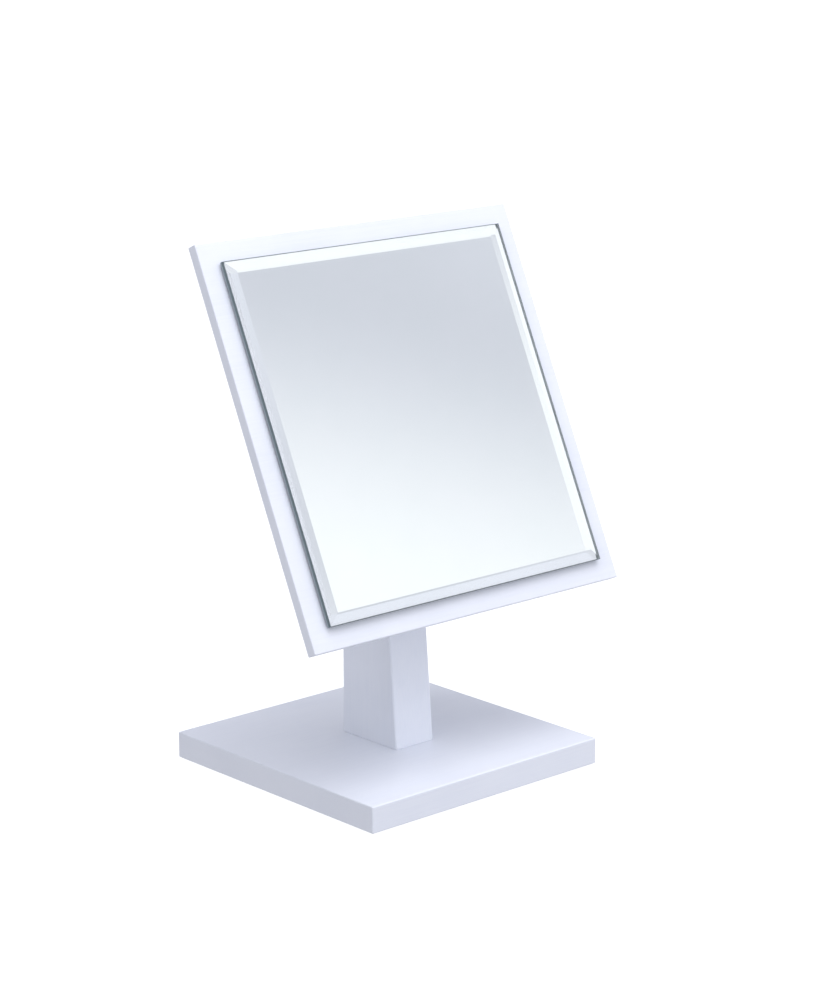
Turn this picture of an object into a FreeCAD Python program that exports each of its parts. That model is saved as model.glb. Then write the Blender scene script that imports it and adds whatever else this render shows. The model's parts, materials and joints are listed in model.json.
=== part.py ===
"""Optician's countertop mirror: a bevelled mirror on a tilting board, on a tapered post and a square base.

Row frame, millimetres: +Z up, +X to the viewer's right, and the mirror faces -Y. The origin is under the
middle of the base, at the level of the counter. The stand is modelled in the row frame. The head (board,
glass and hinge hardware) is modelled upright in its own frame, with the hinge axis as its X axis, and is
then leaned back about that axis to its rest tilt.
"""

import FreeCAD, Part
import math
import os

Vector = FreeCAD.Vector

# --- Driving dimensions: stand ------------------------------------------------------------------------
base_side = 210.0
base_thickness = 19.0
base_edge_radius = 1.0
foot_height = 2.0
foot_radius = 6.5
foot_taper = 1.0  # how much smaller the sole is than the glued face, on the radius
foot_inset = 16.0  # from the base's edge to the foot's centre

post_width = 35.0
post_front_y = -30.5  # the front of the post's foot
post_rear_y = 26.5
post_lean = 4.8  # degrees that the front face leans back; the rear face is upright
post_edge_radius = 1.5
post_foot_easing = 0.5
hinge_rise = 217.5  # from the base's top face to the hinge axis

# --- Driving dimensions: head -------------------------------------------------------------------------
rest_tilt = 25.0  # degrees that the mirror leans back from upright
board_side = 280.0
board_thickness = 8.0
board_edge_radius = 0.8
board_standoff = 34.0  # from the hinge axis to the board's back

glass_side = 250.0
glass_thickness = 5.0
bevel_width = 8.0
bevel_depth = 1.6
silvering_thickness = 0.1
strip_thickness = 1.0
strip_width = 20.0
strip_length = 230.0
strip_count = 4
strip_pitch = 70.0

cleat_width = 110.0
cleat_height = 70.0
cleat_edge_radius = 0.8

bracket_thickness = 2.5
bracket_height = 40.0
bracket_bend_radius = 1.0  # on the inside of each bend
bracket_outer_bend_radius = 3.0
ear_radius = 12.0
web_clearance = 21.5  # from the hinge axis to the bracket's web

# --- Driving dimensions: hinge hardware and fixings -----------------------------------------------------
bolt_radius = 3.0
bolt_length = 55.0
bolt_head_radius = 5.25
bolt_head_height = 3.3
bolt_socket_across = 4.0
bolt_socket_depth = 2.0
running_clearance = 0.05  # the bolt in its sleeve, and the friction washers beside the post
thread_clearance = 0.02
sleeve_radius = 5.0
ear_hole_radius = 3.2
friction_washer_radius = 11.0
friction_washer_thickness = 1.0
plain_washer_radius = 6.0
plain_washer_thickness = 1.2
spring_radius = 6.0
spring_thickness = 0.6
spring_rise = 0.45  # how far each disc spring is coned
nut_across = 10.0
nut_height = 4.6
nut_collar_radius = 4.4
nut_collar_height = 1.6
nut_collar_wall = 0.5
nut_insert_thickness = 1.2

post_screw_spread = 36.0  # between the two screws, along Y
post_screw_length = 50.0
post_screw_radius = 2.5
post_screw_head_radius = 5.0
post_screw_head_height = 3.0
post_screw_washer_radius = 6.0
post_screw_washer_thickness = 1.0
counterbore_radius = 6.5
counterbore_depth = 7.0
post_screw_recess = (2.0, 1.1, 5.0)  # depth, width and reach of the cross recess
dowel_spread = 18.0  # between the two dowels, along X
dowel_radius = 4.0
dowel_length = 40.0
dowel_in_base = 14.0
dowel_chamfer = 1.0
dowel_end_gap = 0.5

bracket_screw_radius = 2.0
bracket_screw_head_radius = 4.0
bracket_screw_length = 16.0
bracket_screw_spread_x = 22.0
bracket_screw_spread_z = 24.0
bracket_screw_recess = (1.6, 0.9, 4.0)

# --- Worked out from the driving dimensions -------------------------------------------------------------
base_top = foot_height + base_thickness
hinge_z = base_top + hinge_rise
lean = math.radians(post_lean)
# The hinge axis is as far from the post's leaning front face as from its rear face.
hinge_y = (post_rear_y + post_front_y * math.cos(lean) + hinge_rise * math.sin(lean)) / (1 + math.cos(lean))
crown_radius = post_rear_y - hinge_y
post_middle_y = (post_front_y + post_rear_y) / 2
counterbore_floor = foot_height + counterbore_depth
post_screw_seat = counterbore_floor - post_screw_washer_thickness  # the face under each screw's head

ear_inside = post_width / 2 + running_clearance + friction_washer_thickness
ear_outside = ear_inside + bracket_thickness
bolt_seat_x = -(ear_outside + plain_washer_thickness)  # the face under the bolt's head
spring_stack = 2 * (spring_thickness + spring_rise)
nut_x = ear_outside + spring_stack + plain_washer_thickness  # the face under the nut
nut_hex_end = nut_x + nut_height
nut_end = nut_hex_end + nut_collar_height
nut_insert_radius = nut_collar_radius - nut_collar_wall

# In the head's upright frame the mirror faces -Y, so each layer lies at a smaller Y than the one behind it.
web_back = -web_clearance
web_front = web_back - bracket_thickness
board_back = -board_standoff
board_front = board_back - board_thickness
silvering_back = board_front - strip_thickness
glass_back = silvering_back - silvering_thickness
bevel_start = glass_back - (glass_thickness - bevel_depth)


# --- Helpers --------------------------------------------------------------------------------------------
def box_between(low, high):
    """A box from its lowest corner to its highest."""
    size = [end - start for start, end in zip(low, high)]
    return Part.makeBox(*size, Vector(*low))


def rod(radius, start, end):
    """A round rod between two points."""
    along = Vector(*end) - Vector(*start)
    return Part.makeCylinder(radius, along.Length, Vector(*start), along)


def ring(outer, inner, start, end):
    """A washer or tube between two points."""
    return rod(outer, start, end).cut(rod(inner, start, end))


def pointing(solid, start, along):
    """The solid with its origin moved to start and its Z axis turned to point along the given way."""
    solid.Placement = FreeCAD.Placement(Vector(*start), FreeCAD.Rotation(Vector(0, 0, 1), Vector(*along)))
    return solid


def turned(outline, start, along):
    """A solid of revolution, from (distance along the axis, radius) points that may touch the axis."""
    corners = [Vector(radius, 0, distance) for distance, radius in outline]
    face = Part.Face(Part.makePolygon(corners + corners[:1]))
    return pointing(face.revolve(Vector(0, 0, 0), Vector(0, 0, 1), 360), start, along)


def hexagon(across, start_x, end_x):
    """A hexagonal prism about the X axis, by its width across flats."""
    corner = across / math.sqrt(3)
    turns = [math.radians(60 * step) for step in range(7)]
    outline = [Vector(start_x, corner * math.cos(turn), corner * math.sin(turn)) for turn in turns]
    return Part.Face(Part.makePolygon(outline)).extrude(Vector(end_x - start_x, 0, 0))


def cross_recess(sizes, start, along):
    """The cutter for a cross-head screwdriver recess."""
    depth, width, reach = sizes
    bar = Part.makeBox(reach, width, depth, Vector(-reach / 2, -width / 2, 0))
    other_bar = Part.makeBox(width, reach, depth, Vector(-width / 2, -reach / 2, 0))
    return pointing(bar.fuse(other_bar), start, along)


def without(solid, cutters):
    """The solid with each cutter taken out of it."""
    for cutter in cutters:
        solid = solid.cut(cutter)
    return solid


def rounded(solid, radius, wanted):
    """The solid with a radius on the edges that wanted() picks."""
    return solid.makeFillet(radius, [edge for edge in solid.Edges if wanted(edge)])


def both_ways(spread):
    """The offsets of two pieces that stand this far apart."""
    return (-spread / 2, spread / 2)


def leaned_back(solid):
    """Carries a solid from the head's upright frame to its place at the rest tilt."""
    leaned = solid.copy()
    leaned.rotate(Vector(0, 0, 0), Vector(1, 0, 0), -rest_tilt)
    leaned.translate(Vector(0, hinge_y, hinge_z))
    return leaned


def as_modelled(solid):
    """Leaves a solid of the stand where it was modelled."""
    return solid


# --- Stand ----------------------------------------------------------------------------------------------
def foot_pads():
    """Four soft self-adhesive feet."""
    reach = base_side / 2 - foot_inset
    outline = [(0, 0), (0, foot_radius - foot_taper), (foot_height, foot_radius), (foot_height, 0)]
    return [turned(outline, (x, y, 0), (0, 0, 1)) for x in (-reach, reach) for y in (-reach, reach)]


def post_screw_blanks():
    """The outer shapes of two pan-head wood screws, up through the base into the post's end grain."""
    outline = [
        (-post_screw_head_height, 0),
        (-post_screw_head_height, post_screw_head_radius * 0.7),
        (-post_screw_head_height / 2, post_screw_head_radius),
        (0, post_screw_head_radius),
        (0, post_screw_radius),
        (post_screw_length - 2 * post_screw_radius, post_screw_radius),
        (post_screw_length, 0),
    ]
    ys = [post_middle_y + offset for offset in both_ways(post_screw_spread)]
    return [turned(outline, (0, y, post_screw_seat), (0, 0, 1)) for y in ys]


def post_screws():
    """The two screws that draw the post down onto the base."""
    ys = [post_middle_y + offset for offset in both_ways(post_screw_spread)]
    head_z = post_screw_seat - post_screw_head_height
    recesses = [cross_recess(post_screw_recess, (0, y, head_z), (0, 0, 1)) for y in ys]
    return [blank.cut(recess) for blank, recess in zip(post_screw_blanks(), recesses)]


def post_screw_washers():
    """Two washers that keep the screws' heads from sinking into the base."""
    ys = [post_middle_y + offset for offset in both_ways(post_screw_spread)]
    ends = [((0, y, post_screw_seat), (0, y, counterbore_floor)) for y in ys]
    return [ring(post_screw_washer_radius, post_screw_radius, start, end) for start, end in ends]


def post_dowels():
    """Two chamfered dowels that stop the post turning on the base."""
    outline = [
        (0, 0),
        (0, dowel_radius - dowel_chamfer),
        (dowel_chamfer, dowel_radius),
        (dowel_length - dowel_chamfer, dowel_radius),
        (dowel_length, dowel_radius - dowel_chamfer),
        (dowel_length, 0),
    ]
    low = base_top - dowel_in_base
    return [turned(outline, (x, post_middle_y, low), (0, 0, 1)) for x in both_ways(dowel_spread)]


def dowel_holes():
    """The holes for the dowels, with a little room for glue at each end."""
    low = base_top - dowel_in_base - dowel_end_gap
    high = base_top - dowel_in_base + dowel_length + dowel_end_gap
    ends = [((x, post_middle_y, low), (x, post_middle_y, high)) for x in both_ways(dowel_spread)]
    return [rod(dowel_radius, start, end) for start, end in ends]


def base_plate():
    """Square plate with eased edges, drilled for the dowels and counterbored from below for the screws."""
    half = base_side / 2
    plate = box_between((-half, -half, foot_height), (half, half, base_top))
    plate = plate.makeFillet(base_edge_radius, plate.Edges)
    for offset in both_ways(post_screw_spread):
        y = post_middle_y + offset
        plate = plate.cut(rod(counterbore_radius, (0, y, foot_height), (0, y, counterbore_floor)))
        plate = plate.cut(rod(post_screw_radius, (0, y, counterbore_floor), (0, y, base_top)))
    return without(plate, dowel_holes())


def post_outline():
    """The post from the side: upright at the rear, leaning in front, with a rounded front shoulder."""
    side = -post_width / 2
    crown_z = hinge_z + crown_radius
    shoulder_turn = (lean + math.pi / 2) / 2
    front_foot = Vector(side, post_front_y, base_top)
    rear_foot = Vector(side, post_rear_y, base_top)
    rear_crown = Vector(side, post_rear_y, crown_z)
    front_crown = Vector(side, hinge_y, crown_z)

    def on_shoulder(turn):
        ahead = crown_radius * math.cos(turn)
        return Vector(side, hinge_y - ahead, hinge_z + crown_radius * math.sin(turn))

    front_touch = on_shoulder(lean)
    return Part.Wire([
        Part.makeLine(front_foot, rear_foot),
        Part.makeLine(rear_foot, rear_crown),
        Part.makeLine(rear_crown, front_crown),
        Part.Arc(front_crown, on_shoulder(shoulder_turn), front_touch).toShape(),
        Part.makeLine(front_touch, front_foot),
    ])


def post():
    """Tapered post, bored across for the hinge sleeve and drilled from below."""
    half = post_width / 2
    blank = Part.Face(post_outline()).extrude(Vector(post_width, 0, 0))

    def is_on_base(edge):
        return edge.BoundBox.ZMax < base_top + 0.01

    def joins_tangent_faces(edge):
        middle = edge.CenterOfMass
        runs_across = edge.BoundBox.XLength > half
        return runs_across and middle.y < post_rear_y - 0.01 and middle.z > base_top + 0.01

    def is_outer(edge):
        return not is_on_base(edge) and not joins_tangent_faces(edge)

    wood = rounded(blank, post_edge_radius, is_outer)
    wood = rounded(wood, post_foot_easing, is_on_base)
    wood = wood.cut(rod(sleeve_radius, (-half, hinge_y, hinge_z), (half, hinge_y, hinge_z)))
    return without(wood, dowel_holes() + post_screw_blanks())


def pivot_sleeve():
    """Metal sleeve in the post's cross bore, in which the hinge bolt turns."""
    half = post_width / 2
    bore_radius = bolt_radius + running_clearance
    return ring(sleeve_radius, bore_radius, (-half, hinge_y, hinge_z), (half, hinge_y, hinge_z))


# --- Head, upright, with the hinge axis as its X axis -----------------------------------------------------
def pivot_bolt():
    """Button-head bolt with a hexagon socket, through both ears and the sleeve."""
    outline = [
        (0, 0),
        (0, bolt_head_radius * 0.55),
        (bolt_head_height * 0.45, bolt_head_radius * 0.9),
        (bolt_head_height * 0.8, bolt_head_radius),
        (bolt_head_height, bolt_head_radius),
        (bolt_head_height, bolt_radius),
        (bolt_head_height + bolt_length, bolt_radius),
        (bolt_head_height + bolt_length, 0),
    ]
    face_x = bolt_seat_x - bolt_head_height
    bolt = turned(outline, (face_x, 0, 0), (1, 0, 0))
    return bolt.cut(hexagon(bolt_socket_across, face_x, face_x + bolt_socket_depth))


def friction_washers():
    """Two nylon washers between the ears and the post, which hold the mirror where it is put."""
    inner = post_width / 2 + running_clearance
    ends = [((side * inner, 0, 0), (side * ear_inside, 0, 0)) for side in (-1, 1)]
    return [ring(friction_washer_radius, ear_hole_radius, start, end) for start, end in ends]


def plain_washers():
    """One washer under the bolt's head and one under the nut."""
    starts = (bolt_seat_x, nut_x - plain_washer_thickness)
    ends = [((x, 0, 0), (x + plain_washer_thickness, 0, 0)) for x in starts]
    return [ring(plain_washer_radius, ear_hole_radius, start, end) for start, end in ends]


def disc_springs():
    """Two coned spring washers, rim to rim, which keep the hinge's friction even as it wears."""
    outline = [
        (0, spring_radius),
        (spring_thickness, spring_radius),
        (spring_thickness + spring_rise, ear_hole_radius),
        (spring_rise, ear_hole_radius),
    ]
    rims_x = ear_outside + spring_stack / 2
    return [turned(outline, (rims_x, 0, 0), (way, 0, 0)) for way in (-1, 1)]


def lock_nut():
    """Hexagon nut with a round collar that holds the locking insert."""
    body = hexagon(nut_across, nut_x, nut_hex_end)
    body = body.fuse(rod(nut_collar_radius, (nut_hex_end, 0, 0), (nut_end, 0, 0)))
    thread = rod(bolt_radius + thread_clearance, (nut_x, 0, 0), (nut_end, 0, 0))
    seat = rod(nut_insert_radius, (nut_end - nut_insert_thickness, 0, 0), (nut_end, 0, 0))
    return without(body, [thread, seat])


def nut_insert():
    """Nylon ring that grips the bolt's thread."""
    start_x = nut_end - nut_insert_thickness
    return ring(nut_insert_radius, bolt_radius + thread_clearance, (start_x, 0, 0), (nut_end, 0, 0))


def bracket_screw_places():
    """The (x, z) of each of the four screws that hold the bracket."""
    zs = both_ways(bracket_screw_spread_z)
    return [(x, z) for x in both_ways(bracket_screw_spread_x) for z in zs]


def bracket_screw_blanks():
    """The outer shapes of the bracket's countersunk screws."""
    outline = [
        (0, 0),
        (0, bracket_screw_head_radius),
        (bracket_screw_head_radius - bracket_screw_radius, bracket_screw_radius),
        (bracket_screw_length - 2 * bracket_screw_radius, bracket_screw_radius),
        (bracket_screw_length, 0),
    ]
    return [turned(outline, (x, web_back, z), (0, -1, 0)) for x, z in bracket_screw_places()]


def bracket_screws():
    """Four countersunk wood screws, through the web and the cleat into the board."""
    places = bracket_screw_places()
    recesses = [cross_recess(bracket_screw_recess, (x, web_back, z), (0, -1, 0)) for x, z in places]
    return [blank.cut(recess) for blank, recess in zip(bracket_screw_blanks(), recesses)]


def bracket_ear(inside_x, outside_x):
    """One ear of the bracket: its flanks run from the web's ends to a round end about the hinge axis."""
    half = bracket_height / 2
    corner_turn = math.atan2(half, web_front)
    touch_turn = corner_turn - math.acos(ear_radius / math.hypot(web_front, half))
    touch_y = ear_radius * math.cos(touch_turn)
    touch_z = ear_radius * math.sin(touch_turn)
    low_corner = Vector(inside_x, web_front, -half)
    high_corner = Vector(inside_x, web_front, half)
    high_touch = Vector(inside_x, touch_y, touch_z)
    low_touch = Vector(inside_x, touch_y, -touch_z)
    outline = Part.Wire([
        Part.makeLine(low_corner, high_corner),
        Part.makeLine(high_corner, high_touch),
        Part.Arc(high_touch, Vector(inside_x, ear_radius, 0), low_touch).toShape(),
        Part.makeLine(low_touch, low_corner),
    ])
    return Part.Face(outline).extrude(Vector(outside_x - inside_x, 0, 0))


def tilt_bracket():
    """Folded steel bracket: a web on the cleat and an ear on each side of the post."""
    half = bracket_height / 2
    web = box_between((-ear_outside, web_front, -half), (ear_outside, web_back, half))
    steel = web.fuse([bracket_ear(ear_inside, ear_outside), bracket_ear(-ear_inside, -ear_outside)])
    steel = steel.removeSplitter()

    def is_bend(edge, x, y):
        middle = edge.CenterOfMass
        straight = edge.BoundBox.ZLength > half and edge.BoundBox.YLength < 0.01
        return straight and abs(abs(middle.x) - x) < 0.01 and abs(middle.y - y) < 0.01

    steel = rounded(steel, bracket_outer_bend_radius, lambda edge: is_bend(edge, ear_outside, web_front))
    steel = rounded(steel, bracket_bend_radius, lambda edge: is_bend(edge, ear_inside, web_back))
    hinge_holes = rod(ear_hole_radius, (-ear_outside, 0, 0), (ear_outside, 0, 0))
    return without(steel, [hinge_holes] + bracket_screw_blanks())


def back_cleat():
    """Block glued to the board's back, which gives the bracket's screws enough wood."""
    low = (-cleat_width / 2, board_back, -cleat_height / 2)
    high = (cleat_width / 2, web_front, cleat_height / 2)

    def is_on_rear_face(edge):
        return edge.BoundBox.YMax > web_front - 0.01

    block = rounded(box_between(low, high), cleat_edge_radius, is_on_rear_face)
    return without(block, bracket_screw_blanks())


def mirror_board():
    """Square painted board that carries the glass."""
    half = board_side / 2
    panel = box_between((-half, board_front, -half), (half, board_back, half))
    panel = panel.makeFillet(board_edge_radius, panel.Edges)
    return without(panel, bracket_screw_blanks())


def adhesive_strips():
    """Upright strips of foam tape between the board and the mirror."""
    half = strip_length / 2
    first = -strip_pitch * (strip_count - 1) / 2
    middles = [first + strip_pitch * step for step in range(strip_count)]
    spans = [(x - strip_width / 2, x + strip_width / 2) for x in middles]
    return [box_between((left, silvering_back, -half), (right, board_front, half)) for left, right in spans]


def mirror_silvering():
    """The silver and its protective paint on the back of the glass."""
    half = glass_side / 2
    return box_between((-half, glass_back, -half), (half, silvering_back, half))


def square_outline(y, reach):
    """A square across the Y axis, by half its side."""
    places = ((-reach, -reach), (reach, -reach), (reach, reach), (-reach, reach), (-reach, -reach))
    return Part.makePolygon([Vector(x, y, z) for x, z in places])


def mirror_glass():
    """Square pane with a flat bevel along all four sides."""
    half = glass_side / 2
    pane = box_between((-half, bevel_start, -half), (half, glass_back, half))
    arris = square_outline(bevel_start, half)
    inner_line = square_outline(bevel_start - bevel_depth, half - bevel_width)
    return pane.fuse(Part.makeLoft([arris, inner_line], True, True)).removeSplitter()


# --- Every sub-part, and its file -------------------------------------------------------------------------
stand_parts = (base_plate, foot_pads, post, post_dowels, post_screws, post_screw_washers, pivot_sleeve)
head_parts = (
    pivot_bolt,
    friction_washers,
    plain_washers,
    disc_springs,
    lock_nut,
    nut_insert,
    tilt_bracket,
    bracket_screws,
    back_cleat,
    mirror_board,
    adhesive_strips,
    mirror_silvering,
    mirror_glass,
)


def write_part(make, place):
    """Builds one sub-part, puts it in its place and writes it to its own STEP file."""
    made = make()
    solids = [place(solid) for solid in (made if isinstance(made, list) else [made])]
    shape = solids[0] if len(solids) == 1 else Part.makeCompound(solids)
    count = len(shape.Solids)
    print(f"{make.__name__:18s} solids {count}  valid {shape.isValid()}  {shape.Volume / 1000:9.3f} cm3")
    shape.exportStep(f"parts/{make.__name__}.step")


os.makedirs("parts", exist_ok=True)
for make in stand_parts:
    write_part(make, as_modelled)
for make in head_parts:
    write_part(make, leaned_back)
print(f"hinge axis at y {hinge_y:.3f}, z {hinge_z:.3f}; crown radius {crown_radius:.3f}")
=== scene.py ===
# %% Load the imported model
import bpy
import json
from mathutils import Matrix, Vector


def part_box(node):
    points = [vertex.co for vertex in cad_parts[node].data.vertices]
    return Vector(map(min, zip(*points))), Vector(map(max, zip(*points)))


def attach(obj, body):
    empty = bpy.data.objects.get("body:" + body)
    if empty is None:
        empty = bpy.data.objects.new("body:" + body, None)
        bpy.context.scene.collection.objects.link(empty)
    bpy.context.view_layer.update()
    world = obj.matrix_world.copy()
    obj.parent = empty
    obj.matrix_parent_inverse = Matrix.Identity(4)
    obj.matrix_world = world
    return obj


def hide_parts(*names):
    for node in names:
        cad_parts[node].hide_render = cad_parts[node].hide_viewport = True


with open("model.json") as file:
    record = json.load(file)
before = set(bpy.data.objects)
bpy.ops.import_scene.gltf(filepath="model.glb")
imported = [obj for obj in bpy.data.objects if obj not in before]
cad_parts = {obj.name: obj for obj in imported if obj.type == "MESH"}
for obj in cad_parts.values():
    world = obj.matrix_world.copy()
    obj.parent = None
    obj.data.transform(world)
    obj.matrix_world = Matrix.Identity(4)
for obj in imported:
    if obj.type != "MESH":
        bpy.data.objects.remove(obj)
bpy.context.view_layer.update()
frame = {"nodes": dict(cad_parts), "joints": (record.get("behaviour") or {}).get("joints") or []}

# %% [markdown]
# # An optician's countertop mirror
# A customer who tries on spectacles looks into this mirror. A square pane with bevelled edges is stuck on
# a white board, the board leans back on a friction hinge, and the hinge sits at the top of a tapered post
# on a square base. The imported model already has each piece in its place. This lesson keeps the pieces
# whose shape is right and gives them finishes. It makes again the nine whose detail is too fine for the
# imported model: the pane and its silver, the tape, the feet, the dowels, and everything with a thread.

# %% Tools and units
import json
import math

import bmesh
import bpy
from mathutils import Matrix, Vector

MM = 0.001
hinge = Vector(frame["joints"][0]["pos_m"])
rest_tilt = math.radians(25)
print("the hinge axis is at y", round(hinge.y, 6), "and z", round(hinge.z, 6))

# %% [markdown]
# ## Sums on nodes
# A finish is a sum over the surface: this much grain, that much haze, a little more where the coat is
# thick. Nodes can be wired one by one, which hides the sum in a drawing. Here a small class stands for one
# output of a node, so that the sum is written as a sum. Numbers use Math nodes, vectors use Vector Math,
# and colours go through Mix.


# %% A reading that can be used in a sum
class Reading:
    """What one output of a node gives at each point: a number, a vector or a colour."""

    def __init__(self, workings, socket):
        self.workings, self.socket = workings, socket

    def __add__(self, other):
        return self.workings.combine("ADD", self, other)

    def __radd__(self, other):
        return self.workings.combine("ADD", other, self)

    def __sub__(self, other):
        return self.workings.combine("SUBTRACT", self, other)

    def __rsub__(self, other):
        return self.workings.combine("SUBTRACT", other, self)

    def __mul__(self, other):
        return self.workings.combine("MULTIPLY", self, other)

    def __rmul__(self, other):
        return self.workings.combine("MULTIPLY", other, self)

    def __truediv__(self, other):
        return self.workings.combine("DIVIDE", self, other)

    def __rtruediv__(self, other):
        return self.workings.combine("DIVIDE", other, self)

    def __pow__(self, other):
        return self.workings.combine("POWER", self, other)

    def step(self, start, end):
        """Rises smoothly from 0 to 1 as this reading goes from start to end."""
        values = {"Value": self, "From Min": start, "From Max": end, "To Min": 0.0, "To Max": 1.0}
        return self.workings.read("ShaderNodeMapRange", {"interpolation_type": "SMOOTHSTEP"}, values)


# %% Workings: the one way to add a node
class Workings:
    """A node tree, whether of a finish, a shape or the studio's light."""

    def __init__(self, tree):
        self.tree = tree
        self.tree.nodes.clear()

    def add(self, kind, settings=None, values=None):
        """Adds a node: its settings come first, and then its sockets get their values or links."""
        node = self.tree.nodes.new(kind)
        for name, setting in (settings or {}).items():
            setattr(node, name, setting)
        sockets = [socket for socket in node.inputs if socket.enabled]
        for name, value in (values or {}).items():
            found = sockets[name] if isinstance(name, int) else next(s for s in sockets if s.name == name)
            self.feed(found, value)
        return node

    def feed(self, socket, value):
        """Links a reading to a socket, or sets a plain value on it."""
        if isinstance(value, Reading):
            self.tree.links.new(value.socket, socket)
        elif socket.type == "RGBA":
            socket.default_value = (*value, 1.0)
        elif socket.type == "VECTOR" and isinstance(value, (int, float)):
            socket.default_value = (value, value, value)
        else:
            socket.default_value = value

    def read(self, kind, settings=None, values=None, output=0):
        """Adds a node and returns the reading on one of its outputs."""
        node = self.add(kind, settings, values)
        sockets = [socket for socket in node.outputs if socket.enabled]
        found = sockets[output] if isinstance(output, int) else next(s for s in sockets if s.name == output)
        return Reading(self, found)

    def combine(self, operation, first, second):
        """Works out one sum with the node that suits what is being added."""
        kinds = [value.socket.type for value in (first, second) if isinstance(value, Reading)]
        if "RGBA" in kinds:
            settings = {"data_type": "RGBA", "blend_type": operation}
            return self.read("ShaderNodeMix", settings, {"Factor": 1.0, "A": first, "B": second})
        plain_vector = any(isinstance(value, (tuple, Vector)) for value in (first, second))
        kind = "ShaderNodeVectorMath" if "VECTOR" in kinds or plain_vector else "ShaderNodeMath"
        return self.read(kind, {"operation": operation}, {0: first, 1: second})

    def maths(self, operation, *values):
        """A Math node for what Python has no sign for, such as a sine or the greater of two."""
        return self.read("ShaderNodeMath", {"operation": operation}, dict(enumerate(values)))

    def between(self, share, first, second):
        """A colour that goes from the first to the second as share goes from 0 to 1."""
        return self.read("ShaderNodeMix", {"data_type": "RGBA"}, {"Factor": share, "A": first, "B": second})

    def parts(self, vector):
        """The x, y and z of a vector, as three readings."""
        node = self.add("ShaderNodeSeparateXYZ", values={0: vector})
        return [Reading(self, socket) for socket in node.outputs]


# %% A finish, and the patterns it is made of
class Finish(Workings):
    """One procedural material: a Principled shader and the sums that feed it."""

    def __init__(self, name, **even):
        self.material = bpy.data.materials.new(name)
        self.material.use_nodes = True
        super().__init__(self.material.node_tree)
        self.shader = self.add("ShaderNodeBsdfPrincipled", values=even)
        self.end = self.add("ShaderNodeOutputMaterial")
        self.tree.links.new(self.shader.outputs[0], self.end.inputs["Surface"])
        self.place = self.read("ShaderNodeTexCoord", output="Object")

    def noise(self, size, detail=2.0, stretch=(1.0, 1.0, 1.0), roughness=0.5, turn=(0.0, 0.0, 0.0)):
        """Soft noise from 0 to 1 whose blobs are about size metres across, longer where stretch is more."""
        scale = tuple(1.0 / (size * way) for way in stretch)
        point = self.read("ShaderNodeMapping", values={"Vector": self.place, "Rotation": turn})
        values = {"Vector": point * scale, "Scale": 1.0, "Detail": detail, "Roughness": roughness}
        return self.read("ShaderNodeTexNoise", values=values)

    def cells(self, size, feature="F1"):
        """How far each point is from the middle of its cell, where cells are about size metres across."""
        values = {"Vector": self.place, "Scale": 1.0 / size}
        return self.read("ShaderNodeTexVoronoi", {"feature": feature}, values, "Distance")

    def use(self, **fed):
        """Feeds readings to the shader, by the names of its sockets with _ for each space."""
        for name, value in fed.items():
            self.feed(self.shader.inputs[name.replace("_", " ")], value)

    def relief(self, height, depth):
        """Raises the surface by height, which runs from 0 to 1, times depth in metres."""
        values = {"Height": height, "Distance": depth, "Strength": 1.0}
        self.use(Normal=self.read("ShaderNodeBump", values=values))


# %% [markdown]
# ## White satin paint
# The base, the post, the board and the cleat are one paint: sprayed white lacquer over a fine-grained
# board. Up close such paint isn't flat. The grain beneath telegraphs through as faint lines along the
# piece, the spray leaves a skin like orange peel, and the sheen changes a little where the coat is
# thicker. A picture of paint would blur and repeat, so the three are sums of noise in the piece's own
# metres. The post's paint is made a little lighter than the rest: that is painted light, standing in for
# light its faces don't get from the studio. The board's grain leans back with the board.


# %% Mix the paint
def satin_paint(name, grain_way, grain_turn=(0.0, 0.0, 0.0), painted_lift=1.0):
    """White lacquer whose faint grain runs along one axis, after a turn, made lighter all over by the last
    argument as painted light.
    """
    paint = Finish(name, **{"IOR": 1.5, "Coat Roughness": 0.12, "Coat IOR": 1.5})
    stretch = tuple(40.0 if way == grain_way else 1.0 for way in "xyz")
    grain = paint.noise(0.9 * MM, 3.0, stretch, 0.6, grain_turn)
    peel = paint.noise(1.6 * MM, 1.0)
    cloud = paint.noise(45 * MM, 3.0)
    speck = paint.cells(7 * MM).step(0.05, 0.02)
    tone = paint.between(cloud.step(0.3, 0.7), (0.775, 0.803, 0.868), (0.805, 0.832, 0.892))
    tone = paint.between(grain.step(0.35, 0.62) * 0.35, tone, (0.835, 0.858, 0.905))
    tone = paint.between(speck * 0.12, tone, (0.62, 0.62, 0.62))
    paint.use(Base_Color=tone * (painted_lift, painted_lift, painted_lift))
    paint.use(Roughness=0.36 + 0.10 * cloud + 0.07 * grain, Coat_Weight=0.10 + 0.10 * cloud)
    paint.relief(0.55 * grain + 0.45 * peel, 0.028 * MM)
    return paint.material


base_paint = satin_paint("white_satin_base", "x")
# The post's paint is made lighter: painted light, standing in for light its faces don't get.
post_paint = satin_paint("white_satin_post", "z", painted_lift=1.09)
board_paint = satin_paint("white_satin_board", "x", (rest_tilt, 0.0, 0.0))
print("paints", base_paint.name, post_paint.name, board_paint.name)

# %% [markdown]
# ## Glass and silver
# The pane is float glass with a little iron in it, so it's clear from the front and greener the further
# light travels inside it. That is absorption, which a colour on the surface can't give. The pane's sides
# are ground, which leaves a grey band of fine scratches instead of a clear surface. Over that grey the
# band has painted light: it is painted pale next to the silver, a painted reflection of the white board,
# and painted dark towards the viewer, a painted shade. Where it is seen through the glass it is painted
# paler again, painted light that comes in through the front, so its finish asks from which side a ray
# comes. The silver is a bare metal layer, and grey paint protects its back.

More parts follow.
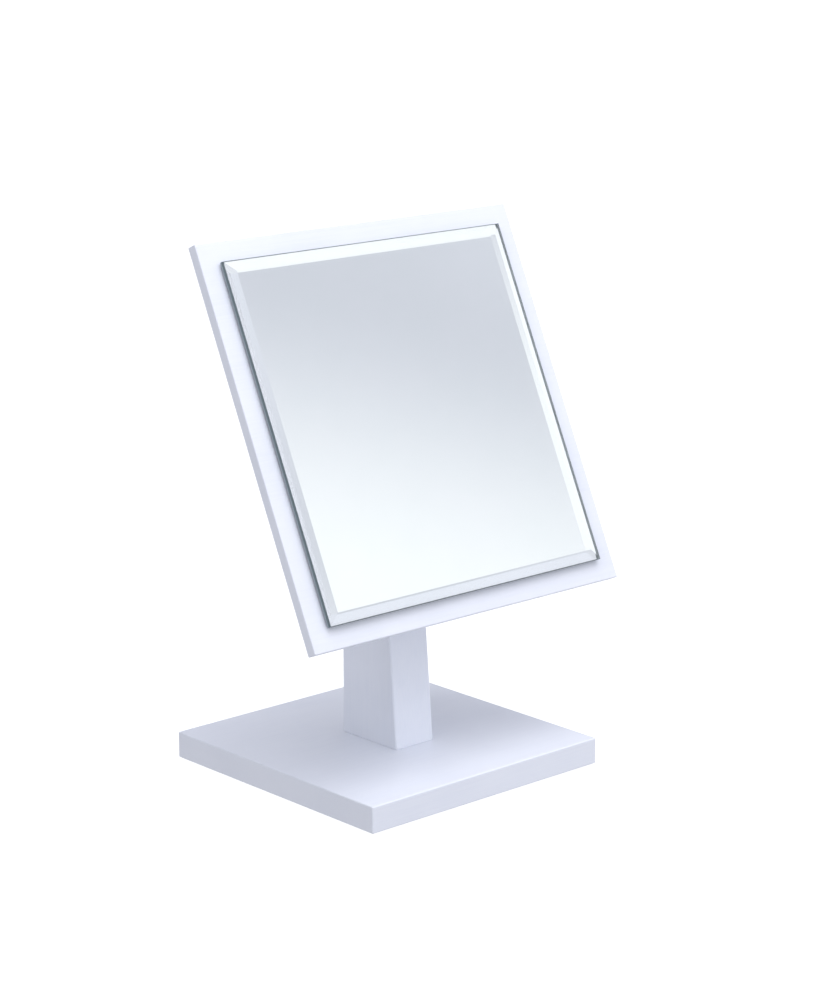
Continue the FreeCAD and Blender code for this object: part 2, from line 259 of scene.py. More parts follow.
# %% Melt the glass
glass = Finish("clear_float_glass", **{"Transmission Weight": 1.0, "IOR": 1.52, "Roughness": 0.0})
glass.use(Base_Color=glass.between(glass.noise(60 * MM), (0.985, 0.995, 0.99), (1.0, 1.0, 1.0)))
glass_depth = glass.add("ShaderNodeVolumeAbsorption", values={"Color": (0.55, 0.83, 0.76), "Density": 7.0})
glass.tree.links.new(glass_depth.outputs[0], glass.end.inputs["Volume"])

# %% Grind the edge of the glass
ground = Finish("ground_glass_edge", **{"IOR": 1.52})
behind, above = ground.parts(ground.place)[1:]
from_hinge = (above - hinge.z) * math.sin(rest_tilt) - (behind - hinge.y) * math.cos(rest_tilt)
scratches = ground.noise(0.3 * MM, 2.0, (6.0, 1.0, 1.0))
# Painted light on the ground edge: pale by the silver as a painted reflection of the board, dark by the
# viewer as painted shade.
painted_board_reflection, painted_edge_shade = (0.34, 0.40, 0.43), (0.085, 0.12, 0.13)
painted_pale_up_to, dark_from = 43.6 * MM, 45.4 * MM
outside_painted_shading = ground.between(from_hinge.step(painted_pale_up_to, dark_from), painted_board_reflection, painted_edge_shade)
# Seen from inside the glass, the ground edge is painted paler: painted light that comes in through the front.
from_inside = ground.read("ShaderNodeNewGeometry", output="Backfacing")
edge_painted_light = ground.between(from_inside, outside_painted_shading, (0.55, 0.60, 0.63))
ground.use(Base_Color=ground.between(scratches * 0.2, edge_painted_light, (0.32, 0.37, 0.40)))
ground.use(Roughness=0.3 + 0.25 * scratches)
ground.relief(scratches, 0.01 * MM)
print("the glass is clear, with a grey band on its edge")

# %% Lay the silver and paint its back
silver = Finish("mirror_silver_layer", **{"Metallic": 1.0})
haze = silver.noise(30 * MM, 4.0)
silver.use(Base_Color=silver.between(haze, (0.925, 0.94, 0.945), (0.945, 0.955, 0.96)))
silver.use(Roughness=0.004 * haze)

backing = Finish("grey_backing_paint", **{"IOR": 1.5})
streaks = backing.noise(3 * MM, 3.0, (1.0, 1.0, 25.0))
backing.use(Base_Color=backing.between(streaks, (0.20, 0.22, 0.24), (0.27, 0.29, 0.31)))
backing.use(Roughness=0.55 + 0.2 * streaks)
backing.relief(streaks, 0.02 * MM)
print("the silver has its backing paint")

# %% [markdown]
# ## Metals, nylon, rubber, foam and beech
# The hinge is bought hardware. Zinc plate is bright but cloudy, with fine lines from the machine that
# turned it. The bracket is powder-coated, which cures to a pebbled skin. Nylon and rubber are dull and
# slightly mottled. The tape is closed-cell foam, and the dowels are beech, whose short dark flecks run
# along the grain.

# %% Finishes of the hardware
zinc = Finish("bright_zinc", **{"Metallic": 1.0})
lines = zinc.noise(0.25 * MM, 2.0, (1.0, 12.0, 12.0))
bloom = zinc.noise(4 * MM, 3.0)
zinc.use(Base_Color=zinc.between(bloom, (0.62, 0.63, 0.64), (0.80, 0.81, 0.83)))
zinc.use(Roughness=0.20 + 0.14 * bloom + 0.08 * lines)
zinc.relief(lines, 0.01 * MM)

powder = Finish("white_powder_coat", **{"IOR": 1.5})
pebbles = powder.cells(0.9 * MM, "SMOOTH_F1")
thin = powder.noise(12 * MM, 2.0)
powder.use(Base_Color=powder.between(thin, (0.74, 0.765, 0.82), (0.79, 0.81, 0.86)))
powder.use(Roughness=0.38 + 0.16 * pebbles)
powder.relief(pebbles, 0.05 * MM)

brass = Finish("turned_brass", **{"Metallic": 1.0})
turning = brass.noise(0.2 * MM, 2.0, (1.0, 10.0, 10.0))
brass.use(Base_Color=brass.between(turning, (0.72, 0.50, 0.20), (0.83, 0.62, 0.30)))
brass.use(Roughness=0.22 + 0.2 * turning)

nylon = Finish("natural_nylon", **{"IOR": 1.53, "Subsurface Weight": 0.25, "Subsurface Scale": 0.001})
mottle = nylon.noise(1.5 * MM, 3.0)
nylon.use(Base_Color=nylon.between(mottle, (0.73, 0.71, 0.65), (0.82, 0.80, 0.75)))
nylon.use(Roughness=0.42 + 0.18 * mottle)
nylon.relief(mottle, 0.015 * MM)

rubber = Finish("grey_rubber", **{"IOR": 1.52})
bloomed = rubber.noise(2.5 * MM, 4.0)
rubber.use(Base_Color=rubber.between(bloomed, (0.10, 0.10, 0.105), (0.19, 0.19, 0.195)))
rubber.use(Roughness=0.62 + 0.25 * bloomed)
rubber.relief(rubber.noise(0.3 * MM), 0.02 * MM)

foam = Finish("closed_cell_foam", **{"IOR": 1.4, "Sheen Weight": 0.2})
bubbles_and_shade = foam.cells(0.35 * MM)
# The foam is painted darker in the middle of each cell, where the relief is lowest: painted shade in the
# bubbles' hollows.
foam.use(Base_Color=foam.between(bubbles_and_shade, (0.40, 0.41, 0.42), (0.66, 0.67, 0.69)))
foam.use(Roughness=0.85 + 0.1 * bubbles_and_shade)
foam.relief(bubbles_and_shade, 0.12 * MM)

beech = Finish("bare_beech", **{"IOR": 1.45})
growth = beech.noise(1.4 * MM, 3.0, (1.0, 1.0, 14.0))
fleck = beech.noise(0.5 * MM, 1.0, (1.0, 1.0, 5.0)).step(0.64, 0.72)
bare_wood = beech.between(growth, (0.56, 0.38, 0.23), (0.70, 0.51, 0.33))
beech.use(Base_Color=beech.between(fleck * 0.6, bare_wood, (0.36, 0.20, 0.11)))
beech.use(Roughness=0.6 + 0.15 * growth)
beech.relief(growth, 0.05 * MM)
print("hardware finishes are ready")

# %% [markdown]
# ## Finishes on the pieces that stay
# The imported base, post, board, cleat, bracket, washers, springs, sleeve and insert have their true shapes
# already, so each only takes its finish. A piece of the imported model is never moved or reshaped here.

# %% Put the finishes on
kept = {
    "base_plate": base_paint,
    "post": post_paint,
    "mirror_board": board_paint,
    "back_cleat": board_paint,
    "tilt_bracket": powder.material,
    "plain_washers": zinc.material,
    "disc_springs": zinc.material,
    "post_screw_washers": zinc.material,
    "pivot_sleeve": brass.material,
    "friction_washers": nylon.material,
    "nut_insert": nylon.material,
}
for name, finish in kept.items():
    for slot in frame["nodes"][name].material_slots:
        slot.material = finish
print(len(kept), "pieces keep their shape")

# %% [markdown]
# ## Shapes by rule
# Geometry Nodes build what repeats or follows a rule. Each tree is written here once, with named inputs
# for its sizes. A carrier object runs it, the result is turned into a plain mesh, and the carrier is
# thrown away, so that nothing live is left on the finished piece.


# %% A shape tree and how it is run
class Shape(Workings):
    """A Geometry Nodes tree with named inputs, which ends in real geometry with a material on it."""

    kinds = {float: "NodeSocketFloat", int: "NodeSocketInt"}

    def __init__(self, name, objects=(), **sizes):
        super().__init__(bpy.data.node_groups.new(name, "GeometryNodeTree"))
        self.keys = {}
        wanted = [("Geometry", "NodeSocketGeometry"), ("Finish", "NodeSocketMaterial")]
        wanted += [(label, "NodeSocketObject") for label in objects]
        wanted += [(label, self.kinds[type(value)]) for label, value in sizes.items()]
        for label, kind in wanted:
            socket = self.tree.interface.new_socket(label, in_out="INPUT", socket_type=kind)
            self.keys[label] = socket.identifier
            if label in sizes:
                socket.default_value = sizes[label]
        self.tree.interface.new_socket("Geometry", in_out="OUTPUT", socket_type="NodeSocketGeometry")
        given = self.add("NodeGroupInput")
        self.given = {label: Reading(self, given.outputs[label]) for label, kind in wanted}

    def model_in(self, label):
        """The geometry of the object that a named input is given."""
        return self.read("GeometryNodeObjectInfo", values={"Object": self.given[label]}, output="Geometry")

    def join(self, *parts):
        """Several geometries as one."""
        joined = self.add("GeometryNodeJoinGeometry")
        for part in parts:
            self.tree.links.new(part.socket, joined.inputs[0])
        return Reading(self, joined.outputs[0])

    def finish_with(self, geometry):
        """Makes instances real, puts the finish on and sends the geometry out."""
        real = self.read("GeometryNodeRealizeInstances", values={0: geometry})
        values = {"Geometry": real, "Material": self.given["Finish"]}
        self.add("NodeGroupOutput", values={0: self.read("GeometryNodeSetMaterial", values=values)})

    def finish_on_points(self, geometry):
        """Sets the geometry out on the points that the tree is run on, and sends it out."""
        values = {"Points": self.given["Geometry"], "Instance": geometry}
        self.finish_with(self.read("GeometryNodeInstanceOnPoints", values=values))

    def run(self, finish, places=((0.0, 0.0, 0.0),), **values):
        """Runs the tree on points at the given places and returns a plain mesh."""
        start = bpy.data.meshes.new("places")
        start.from_pydata([tuple(place) for place in places], [], [])
        carrier = bpy.data.objects.new("carrier", start)
        bpy.context.scene.collection.objects.link(carrier)
        modifier = carrier.modifiers.new("shape", "NODES")
        modifier.node_group = self.tree
        modifier[self.keys["Finish"]] = finish
        for label, value in values.items():
            modifier[self.keys[label]] = value
        graph = bpy.context.evaluated_depsgraph_get()
        mesh = bpy.data.meshes.new_from_object(carrier.evaluated_get(graph))
        bpy.data.objects.remove(carrier)
        return mesh


# %% Close, smooth and place a mesh
def settle(mesh, place=None, sharp_over=35.0):
    """Moves a mesh to its place, welds its seams, faces it outwards and smooths all but its sharp edges."""
    if place is not None:
        mesh.transform(place)
    shell = bmesh.new()
    shell.from_mesh(mesh)
    bmesh.ops.remove_doubles(shell, verts=shell.verts, dist=0.0005 * MM)
    bmesh.ops.recalc_face_normals(shell, faces=shell.faces)
    shell.to_mesh(mesh)
    shell.free()
    mesh.shade_smooth()
    mesh.set_sharp_from_angle(angle=math.radians(sharp_over))
    return mesh


def is_closed(mesh):
    """True when every edge has just two faces."""
    shell = bmesh.new()
    shell.from_mesh(mesh)
    closed = all(len(edge.link_faces) == 2 for edge in shell.edges)
    shell.free()
    return closed


def stand_in(name, mesh, body, node):
    """Puts a new piece in the scene, in place of a packed one, and tells whether it closes and fits."""
    made = bpy.data.objects.new(name, mesh)
    bpy.context.scene.collection.objects.link(made)
    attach(made, body)
    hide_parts(node)
    low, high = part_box(node)
    slack = 0.01 * MM
    inside = all(
        low[axis] - slack <= vertex.co[axis] <= high[axis] + slack
        for vertex in mesh.vertices
        for axis in range(3)
    )
    print(name, len(mesh.polygons), "faces, closed", is_closed(mesh), "inside its packed box", inside)


# %% [markdown]
# ## Where the head is
# The board, pane and bracket are easiest to think of upright, with depth measured from the hinge axis
# towards the viewer. One matrix leans them back to their place. Its Z axis is depth, so a flat piece is
# made lying down.

# %% The head's own frame
on_head = Matrix.Translation(hinge) @ Matrix.Rotation(-rest_tilt + math.pi / 2, 4, "X")
board_middle = sum(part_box("mirror_board"), Vector()) / 2
print("the board's middle is", round((board_middle - hinge).length / MM, 1), "mm from the axis")


def at_depth(depth):
    """The head's frame, moved towards the viewer by a depth from the hinge axis."""
    return on_head @ Matrix.Translation((0.0, 0.0, depth))


# %% [markdown]
# ## The bevelled pane
# A bevelled mirror is cut square, then a grinding wheel takes a shallow slope off all four sides, and a
# last pass takes the sharpness off each edge. That is a rule: a square that rises and shrinks in steps. It
# could be drawn corner by corner, but extruding one face again and again keeps the mitres exact, whatever
# the sizes are. Faces that look sideways then take the ground finish, and the two flat faces and the bevel
# stay clear.

# %% Grow the pane from one square face
pane_sizes = {
    "Side": 250 * MM,
    "Thickness": 5 * MM,
    "Bevel width": 8 * MM,
    "Bevel depth": 1.6 * MM,
    "Arris": 0.45 * MM,
}
pane_shape = Shape("bevelled_pane", **pane_sizes)
side, thick, width, drop, arris = (pane_shape.given[label] for label in pane_sizes)
heights_and_sides = [
    (0.0, side - 2 * arris),
    (arris, side),
    (thick - drop - arris, side),
    (thick - drop + arris * drop / width, side - 2 * arris),
    (thick, side - 2 * width),
]
back_side = heights_and_sides[0][1]
grid = {"Size X": back_side, "Size Y": back_side, "Vertices X": 2, "Vertices Y": 2}
back_face = pane_shape.read("GeometryNodeMeshGrid", values=grid)
rising, top = back_face, True
for (low, low_side), (high, high_side) in zip(heights_and_sides, heights_and_sides[1:]):
    values = {"Mesh": rising, "Selection": top, "Offset Scale": high - low, "Individual": False}
    grown = pane_shape.add("GeometryNodeExtrudeMesh", {"mode": "FACES"}, values)
    top = Reading(pane_shape, grown.outputs["Top"])
    longer = Reading(pane_shape, grown.outputs["Mesh"])
    values = {"Geometry": longer, "Selection": top, "Scale": high_side / low_side}
    rising = pane_shape.read("GeometryNodeScaleElements", {"domain": "FACE"}, values)
closing = pane_shape.read("GeometryNodeFlipFaces", values={"Mesh": back_face})
pane_shape.finish_with(pane_shape.join(closing, rising))
print("the pane grows through", len(heights_and_sides), "squares")

# %% Make the pane and grind its sides
pane = pane_shape.run(glass.material)
pane.materials.append(ground.material)
ground_place = len(pane.materials) - 1
flat_from = 0.9
sides_and_arrises = [face for face in pane.polygons if abs(face.normal.z) < flat_from]
for face in sides_and_arrises:
    face.material_index = ground_place
print(len(sides_and_arrises), "of its", len(pane.polygons), "faces are ground")
pane_back = 43.1 * MM
settle(pane, at_depth(pane_back), 3.0)
stand_in("pane", pane, "head", "mirror_glass")

# %% [markdown]
# ## The silvering
# Silver is laid on the back of the glass and painted over. It could share the glass's back face, but two
# surfaces in one place flicker, so the layer lies a fiftieth of a millimetre behind. Its front is metal,
# the rest is paint.


# %% Lay the silvering behind the pane
def thin_square(side, low, high):
    """A square plate, lying down, between two heights."""
    plate = bmesh.new()
    bmesh.ops.create_cube(plate, size=1.0)
    for vertex in plate.verts:
        vertex.co = (vertex.co.x * side, vertex.co.y * side, high if vertex.co.z > 0 else low)
    mesh = bpy.data.meshes.new("plate")
    plate.to_mesh(mesh)
    plate.free()
    return mesh


silver_side, silver_back = 249.4 * MM, 43.0 * MM
layer = thin_square(silver_side, 0.01 * MM, 0.08 * MM)
for finish in (backing.material, silver.material):
    layer.materials.append(finish)
for face in layer.polygons:
    face.material_index = 1 if face.normal.z > 0.5 else 0
settle(layer, at_depth(silver_back))
stand_in("silver_layer", layer, "head", "mirror_silvering")

# %% [markdown]
# ## Turned pieces
# Feet, screw heads, the bolt's head and the nut are round pieces, and a lathe's rule makes them all: rings
# at given distances along an axis. Where a ring's reach is a function of the angle it needn't be round, so
# the same rule cuts a hexagon socket, a cross recess and the corners of a nut.


# %% A lathe that can also cut corners
def turned(name, rings, sides=72, is_tube=False):
    """A solid of revolution about Z from (distance, reach) rings. A reach of 0 closes an end."""
    solid = bmesh.new()
    loops = []
    for distance, reach in rings:
        if reach == 0:
            loops.append([solid.verts.new((0.0, 0.0, distance))])
            continue
        loop = []
        for step in range(sides):
            angle = 2 * math.pi * step / sides
            out = reach(angle) if callable(reach) else reach
            loop.append(solid.verts.new((out * math.cos(angle), out * math.sin(angle), distance)))
        loops.append(loop)
    pairs = list(zip(loops, loops[1:])) + ([(loops[-1], loops[0])] if is_tube else [])
    for low, high in pairs:
        for step in range(sides):
            following = (step + 1) % sides
            corners = [low[step % len(low)], low[following % len(low)], high[following % len(high)]]
            corners.append(high[step % len(high)])
            solid.faces.new(list(dict.fromkeys(corners)))
    mesh = bpy.data.meshes.new(name)
    solid.to_mesh(mesh)
    solid.free()
    return settle(mesh)


def in_metres(rings):
    """Rings from millimetres. A reach that depends on the angle gives metres already."""
    return [(rise * MM, reach if callable(reach) else reach * MM) for rise, reach in rings]


def hexagon(across):
    """The reach of a hexagon at each angle, by its width across flats."""
    return lambda angle: across / 2 / math.cos((angle + math.pi / 6) % (math.pi / 3) - math.pi / 6)


def cross(width, reach):
    """The reach of a screwdriver's cross at each angle."""

    def at(angle):
        across, along = abs(math.cos(angle)) + 1e-9, abs(math.sin(angle)) + 1e-9
        return max(min(reach / across, width / along), min(width / across, reach / along)) / 2

    return at


def least(cut, limit):
    """The smaller of a cut's reach and a limit at each angle: what is left after both cuts."""
    return lambda angle: min(cut(angle), limit)


def model(name, mesh):
    """An object that only serves a shape tree as its model, out of the scene."""
    return bpy.data.objects.new(name, mesh)


# %% [markdown]
# ## Feet
# Four soft stick-on feet keep the base off the counter. Each is moulded, so its rim is rounded and its
# sole has a shallow dish. One is turned and a tree sets it out on the corners, which keeps all four the
# same.

# %% A tree that sets one model out on points
set_out = Shape("set_out", objects=("Model",))
set_out.finish_on_points(set_out.model_in("Model"))
print("the tree takes", list(set_out.keys))

# %% Turn one foot and set out four
foot_rings = [
    (0.30, 0), (0.22, 2.0), (0.06, 3.6), (0.0, 4.4), (0.03, 4.9), (0.16, 5.3), (0.42, 5.62),
    (0.90, 5.95), (1.50, 6.25), (1.85, 6.42), (2.0, 6.46), (2.0, 0),
]  # fmt: skip
foot = turned("foot", in_metres(foot_rings), 48)
pad_radius = 6.5 * MM
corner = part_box("foot_pads")[1].x - pad_radius
corners = [(x, y, 0.0) for x in (-corner, corner) for y in (-corner, corner)]
feet = settle(set_out.run(rubber.material, corners, Model=model("foot", foot)))
stand_in("soft_feet", feet, "stand", "foot_pads")

# %% [markdown]
# ## Foam tape
# The pane is held by four upright strips of foam tape. Cut foam has soft corners and bulges a little where
# the glass presses on it. One strip is shaped and the same tree sets out four.


# %% Cut one strip and set out four
def strip_of_tape(width, length, thick):
    """A strip lying down, with its long side along Y, whose sides bulge as squeezed foam does."""
    strip = bmesh.new()
    bmesh.ops.create_cube(strip, size=1.0)
    for vertex in strip.verts:
        vertex.co = (vertex.co.x * width, vertex.co.y * length, (vertex.co.z + 0.5) * thick)
    corners = [edge for edge in strip.edges if abs(edge.verts[0].co.z - edge.verts[1].co.z) > thick / 2]
    bmesh.ops.bevel(strip, geom=corners, offset=1.5 * MM, segments=4, profile=0.5, affect="EDGES")
    rim = [edge for edge in strip.edges if abs(edge.verts[0].co.z - edge.verts[1].co.z) < thick / 2]
    rim = [edge for edge in rim if edge.calc_face_angle(0.0) > 1.0]
    bmesh.ops.bevel(strip, geom=rim, offset=0.3 * thick, segments=3, profile=0.5, affect="EDGES")
    mesh = bpy.data.meshes.new("strip_of_tape")
    strip.to_mesh(mesh)
    strip.free()
    return settle(mesh)


mm_apart = 70
strip_spots = [((index - 1.5) * mm_apart * MM, 0.0, 0.0) for index in range(4)]
strip = strip_of_tape(width=20 * MM, length=230 * MM, thick=0.98 * MM)
tape = set_out.run(foam.material, strip_spots, Model=model("strip", strip))
tape_back = 42.01 * MM
settle(tape, at_depth(tape_back))
stand_in("foam_strips", tape, "head", "adhesive_strips")

# %% [markdown]
# ## Threads and flutes
# A thread is a groove that climbs as it goes round. Straight flutes on a dowel are the same groove with
# many starts and no climb. So one tree makes both: it takes a plain rod and moves every point in or out by
# where it is in the groove. A real groove in the mesh catches the light at the rod's outline, which a bump
# can't do.

# %% A tree that cuts grooves in a rod
rod_counts = {"Starts": 1, "Sides": 48, "Rings": 200}
rod_sizes = {
    "Reach": 3 * MM, "Groove": 0.5 * MM, "Climb": 1000.0, "Plain": 0.0, "Length": 50 * MM,
    "Tip": 1 * MM, "Tip drop": 0.5 * MM, "Start drop": 0.0,
}  # fmt: skip
grooved = Shape("grooved_rods", objects=("Head",), **rod_counts, **rod_sizes)
starts, sides, rings = (grooved.given[label] for label in rod_counts)
size_readings = [grooved.given[label] for label in rod_sizes]
reach, groove, climb, plain, length, tip, tip_drop, start_drop = size_readings
values = {"Vertices": sides, "Side Segments": rings, "Radius": reach, "Depth": length}
blank = grooved.read("GeometryNodeMeshCylinder", {"fill_type": "TRIANGLE_FAN"}, values)
x, y, z = grooved.parts(grooved.read("GeometryNodeInputPosition"))
along = z + length / 2
turns = grooved.maths("ARCTAN2", y, x) / (2 * math.pi)
phase = grooved.maths("FRACT", along * climb - turns * starts)
crest = grooved.maths("ABSOLUTE", phase - 0.5) * 2
fade = 0.6 * MM
runs_in = grooved.maths("MINIMUM", 1.0, grooved.maths("MAXIMUM", 0.0, (along - plain) / fade))
at_tip = grooved.maths("MAXIMUM", 0.0, along - length + tip) / tip * tip_drop
at_start = grooved.maths("MAXIMUM", 0.0, start_drop - along)
share = (1 - groove * runs_in * (1 - crest) / reach) * (1 - at_tip / reach) - at_start / reach
cut = grooved.read("ShaderNodeCombineXYZ", values={0: x * share, 1: y * share, 2: along})
rod = grooved.read("GeometryNodeSetPosition", values={"Geometry": blank, "Position": cut})
grooved.finish_on_points(grooved.join(rod, grooved.model_in("Head")))
print("the tree has", len(grooved.tree.nodes), "nodes and takes", list(grooved.keys))

# %% Two fluted dowels
dowel_spots = [(x * MM, -2 * MM, 7 * MM) for x in (-9, 9)]
flutes = {"Starts": 20, "Sides": 120, "Rings": 40, "Reach": 4 * MM, "Groove": 0.3 * MM, "Climb": 0.0}
flutes |= {"Length": 40 * MM, "Tip": 1 * MM, "Tip drop": 1 * MM, "Start drop": 1 * MM}
dowels = settle(grooved.run(beech.material, dowel_spots, **flutes), None, 50.0)
stand_in("fluted_dowels", dowels, "stand", "post_dowels")

# %% [markdown]
# ## Screws
# Two pan-head screws draw the post onto the base, and four countersunk ones hold the bracket. Both have a
# cross recess, which is what a fitter's driver needs, and a coarse thread that runs out in a point.

# %% Screw heads
recess_cut = cross(1.1 * MM, 5 * MM)
pan_rings = [(-0.9, 0), (-1.0, recess_cut), (-3.0, recess_cut), (-3.0, 3.3), (-2.8, 3.9), (-2.3, 4.5)]
pan_rings += [(-1.6, 4.88), (-0.8, 5.0), (-0.1, 5.0), (0.0, 4.9), (0.0, 2.2), (0.5, 0)]
pan_head = turned("pan_head", in_metres(pan_rings))
small_cut = cross(0.9 * MM, 4 * MM)
sunk_rings = [(1.5, 0), (1.4, small_cut), (0.0, small_cut), (0.0, 3.9), (0.15, 3.98), (0.3, 3.7)]
sunk_rings += [(2.0, 2.0), (2.4, 1.9), (2.6, 0)]
sunk_head = turned("sunk_head", in_metres(sunk_rings))
print("the heads have", len(pan_head.polygons), "and", len(sunk_head.polygons), "faces")

# %% Drive the screws
wood_thread = {"Groove": 0.75 * MM, "Tip": 5 * MM, "Starts": 1, "Sides": 32}
post_places = [(0.0, y * MM, 8 * MM) for y in (-20, 16)]
long_screw = {"Rings": 260, "Reach": 2.48 * MM, "Climb": 550.0, "Plain": 16 * MM, "Length": 49.9 * MM}
long_screw |= wood_thread | {"Tip drop": 2.3 * MM}
post_screws = grooved.run(zinc.material, post_places, Head=model("pan_head", pan_head), **long_screw)
stand_in("post_screws_cut", settle(post_screws), "stand", "post_screws")

web_back = 21.5 * MM
bracket_places = [(x * MM, y * MM, 0.0) for x in (-11, 11) for y in (-12, 12)]
short_screw = wood_thread | {"Rings": 110, "Reach": 1.98 * MM, "Groove": 0.6 * MM, "Climb": 700.0}
short_screw |= {"Plain": 3 * MM, "Length": 15.9 * MM, "Tip": 4 * MM, "Tip drop": 1.85 * MM}
bracket_screws = grooved.run(zinc.material, bracket_places, Head=model("sunk_head", sunk_head), **short_screw)
settle(bracket_screws, at_depth(web_back))
stand_in("bracket_screws_cut", bracket_screws, "head", "bracket_screws")

# %% [markdown]
# ## The hinge bolt and its nut
# The head of the mirror turns on one button-head bolt. It's the same grooved rod, with a fine thread that
# only starts past the sleeve. The nut is turned with six flats, and a cone takes its corners off, which
# leaves the arc on each flat that every real nut has.

# %% Turn the bolt's head and cut its thread
socket_cut = hexagon(4 * MM)
dome = [math.radians(15 * step) for step in range(7)]
bolt_rings = [(-1.0, 0), (-1.3, socket_cut), (-3.2, socket_cut), (-3.3, 2.62)]
bolt_rings += [(-3.3 + 2.6 * (1 - math.cos(turn)), 2.75 + 2.5 * math.sin(turn)) for turn in dome]
bolt_rings += [(-0.1, 5.25), (0.0, 5.1), (0.0, 2.8), (0.4, 0)]
bolt_head = turned("bolt_head", in_metres(bolt_rings))
fine_thread = {"Starts": 1, "Sides": 48, "Rings": 440, "Reach": 2.995 * MM, "Groove": 0.5 * MM}
fine_thread |= {"Climb": 1000.0, "Plain": 31 * MM, "Length": 55 * MM, "Tip": 0.8 * MM, "Tip drop": 0.6 * MM}


def across_hinge(start):
    """The hinge's own frame, leaned with the head: Z runs along the axis from a start right of the middle."""
    leaned = Matrix.Translation(hinge) @ Matrix.Rotation(-rest_tilt, 4, "X")
    return leaned @ Matrix.Translation((start, 0.0, 0.0)) @ Matrix.Rotation(math.pi / 2, 4, "Y")


under_bolt_head = -22.25 * MM
bolt = grooved.run(zinc.material, Head=model("bolt_head", bolt_head), **fine_thread)
stand_in("hinge_bolt", settle(bolt, across_hinge(under_bolt_head)), "head", "pivot_bolt")

# %% Turn the nut
flats = hexagon(10 * MM)
rises, falls = (0.1, 0.2, 0.3, 0.4, 0.55), (0.6, 0.4, 0.3, 0.2, 0.1, 0.0)
nut_rings = [(0.0, 3.05), (0.0, 4.85)]
nut_rings += [(rise, least(flats, (4.85 + 1.7 * rise) * MM)) for rise in rises]
nut_rings += [(4.6 - fall, least(flats, (4.75 + 1.7 * fall) * MM)) for fall in falls]
nut_rings += [(4.62, 4.5), (4.8, 4.39), (5.9, 4.37), (6.12, 4.25)]
nut_rings += [(6.19, 4.1), (6.19, 3.92), (5.0, 3.92), (5.0, 3.05)]
nut = turned("nut", in_metres(nut_rings), 96, is_tube=True)
nut.materials.append(zinc.material)
under_nut = 24.36 * MM
stand_in("locking_nut", settle(nut, across_hinge(under_nut), 25.0), "head", "lock_nut")

# %% [markdown]
# ## The studio
# A mirror looks like whatever it reflects, so the room matters as much as the glass. The world is that
# room: four soft grey walls whose light differs at eye level and above, a large round softbox low in
# front, and two small lamps on the right, which show in the bevel. A modelled room would have to be lit
# and kept out of every view. Here each wall is one share of a sum.

# %% The camera, and directions round the mirror
camera_turn, camera_rise, camera_roll = 41.956, 14.023, math.radians(-0.162)
camera_distance = 1.9564


def way(right_of_front, rise):
    """A direction, from degrees to the right of the front and degrees up."""
    turn, lift = math.radians(right_of_front), math.radians(rise)
    return Vector((math.sin(turn) * math.cos(lift), -math.cos(turn) * math.cos(lift), math.sin(lift)))


back = way(-camera_turn, camera_rise)
right = way(90 - camera_turn, 0)
up = back.cross(right)
aim = right * 0.01836 + Vector((0.0, 0.0, 0.19249))
sideways = right * math.cos(camera_roll) + up * math.sin(camera_roll)
upwards = up * math.cos(camera_roll) - right * math.sin(camera_roll)
lens = bpy.data.cameras.new("camera")
lens.lens, lens.sensor_width = 101.4, 36.0
camera = bpy.data.objects.new("camera", lens)
bpy.context.scene.collection.objects.link(camera)
camera_axes = Matrix((sideways, upwards, back)).transposed().to_4x4()
camera.matrix_world = Matrix.Translation(aim + back * camera_distance) @ camera_axes
bpy.context.scene.camera = camera
bpy.context.scene.view_settings.view_transform = "Standard"
print("the camera is at", [round(value, 3) for value in camera.matrix_world.translation])

# %% World: the walls, each with its light at eye level and above, and the bounce from below
WALLS = {"front": (0.72, 1.83), "right": (0.72, 0.80), "back": (0.35, 0.15), "left": (0.08, 1.29)}
BOUNCE = 0.55
world = bpy.data.worlds.new("studio")
world.use_nodes = True
bpy.context.scene.world = world
room = Workings(world.node_tree)
towards = room.read("ShaderNodeTexCoord", output="Generated")
x, y, z = room.parts(towards)
flat_squared = room.maths("MAXIMUM", 1 - z * z, 0.0001)
looks_at = {"front": 0 - y, "right": x, "back": y, "left": 0 - x}
high = z.step(math.sin(math.radians(30)), math.sin(math.radians(50)))
above_floor = z.step(-0.03, 0.02)
brightness = 0.0
for wall, (low_part, high_part) in WALLS.items():
    share = room.maths("MAXIMUM", 0.0, looks_at[wall]) ** 2 / flat_squared
    brightness = brightness + share * (low_part + high * (high_part - low_part))
brightness = BOUNCE + (brightness - BOUNCE) * above_floor
print("the walls, at eye level and above, are", WALLS)

# %% World: the round softbox and the two small lamps
SOFTBOX, SIDE_LAMP, RIM_LAMP = 0.38, 0.145, 0.40


def lamp(centre, bright_to, dark_from):
    """A round lamp with a soft rim: 1 within the first angle of its centre, and 0 beyond the second."""
    values = {0: towards, 1: centre}
    nearness = room.read("ShaderNodeVectorMath", {"operation": "DOT_PRODUCT"}, values, "Value")
    return nearness.step(math.cos(math.radians(dark_from)), math.cos(math.radians(bright_to)))


softbox = lamp(way(18, -4), 36, 42) * above_floor
brightness = brightness + SOFTBOX * softbox + SIDE_LAMP * lamp(way(75, 32), 17, 25)
brightness = brightness + RIM_LAMP * lamp(way(74, 14), 8, 15)
tint = room.between(softbox, (0.985, 1.0, 1.11), (0.99, 1.0, 1.03))
backdrop = room.add("ShaderNodeBackground", values={"Color": tint, "Strength": brightness})
world_end = room.add("ShaderNodeOutputWorld")
room.tree.links.new(backdrop.outputs[0], world_end.inputs["Surface"])
print("the softbox adds", SOFTBOX, "the side lamp", SIDE_LAMP, "and the rim lamp", RIM_LAMP)

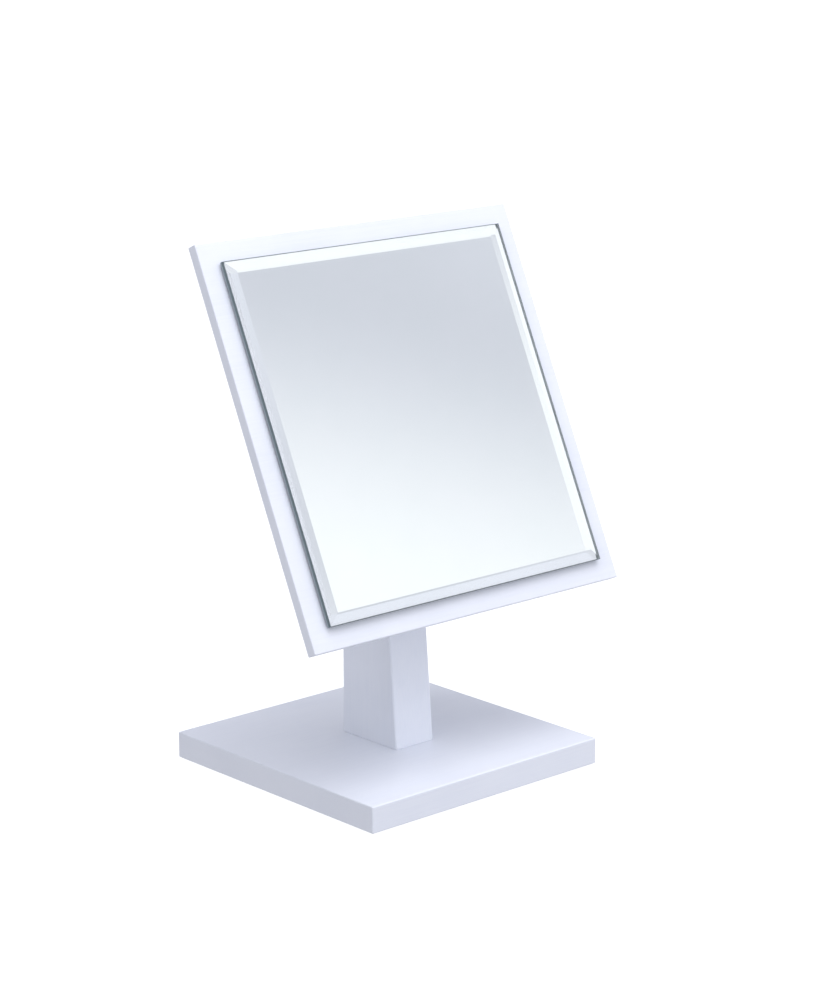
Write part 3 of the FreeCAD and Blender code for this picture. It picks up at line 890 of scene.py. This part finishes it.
# %% [markdown]
# ## The white floor
# The mirror stands on a wide floor that glows an even white, as a lit table does, so it fades into the
# background with almost no shadow. A white floor lit by lamps would grey with distance. But a glowing
# floor would also flood the mirror's underside, so its glow is left out of the lamps that Blender aims at,
# soft bounces don't see it, and it blocks no light. The eye and the gloss still do, and the light from
# below comes from the world.

# %% Floor
table_sizes = {"Base Color": (0.20, 0.20, 0.205), "Roughness": 0.7, "Specular IOR Level": 0.0}
table = Finish("pale_table", **table_sizes)
glow = table.between(table.noise(0.5), (0.97, 0.985, 1.0), (0.98, 0.99, 1.0))
table.use(Emission_Color=glow, Emission_Strength=1.0)
table.material.cycles.emission_sampling = "NONE"
floor_radius = 60.0
floor_mesh = bpy.data.meshes.new("floor")
disc = bmesh.new()
bmesh.ops.create_circle(disc, cap_ends=True, radius=floor_radius, segments=128)
disc.to_mesh(floor_mesh)
disc.free()
floor_mesh.materials.append(table.material)
floor = bpy.data.objects.new("floor", floor_mesh)
bpy.context.scene.collection.objects.link(floor)
floor.visible_diffuse = False
floor.visible_shadow = False
print("the floor reaches", floor_radius, "m all round")

# %% [markdown]
# ## The softboxes
# The world alone would light the white paint from all sides at once, and the shapes would go flat. Three
# round softboxes give it direction. Two hang above, so the head shades the base a little, and one stands
# high on the left, which the board's narrow left side faces.

# %% Softboxes
lit_point = Vector((0.0, 0.0, 0.15))


def softbox_light(name, direction, distance, size, watts):
    """A round softbox that looks at the mirror's middle from one direction."""
    light = bpy.data.lights.new(name, "AREA")
    light.shape, light.size, light.energy = "DISK", size, watts
    holder = bpy.data.objects.new(name, light)
    bpy.context.scene.collection.objects.link(holder)
    turned_to_it = direction.to_track_quat("Z", "Y").to_matrix().to_4x4()
    holder.matrix_world = Matrix.Translation(lit_point + direction * distance) @ turned_to_it
    print(name, "at", [round(value, 2) for value in holder.matrix_world.translation])


softbox_light("overhead", way(15, 72), 2.0, 1.1, 7.9)
softbox_light("top", way(0, 89), 2.0, 1.4, 4.4)
softbox_light("left", way(-75, 35), 2.4, 1.0, 9.0)
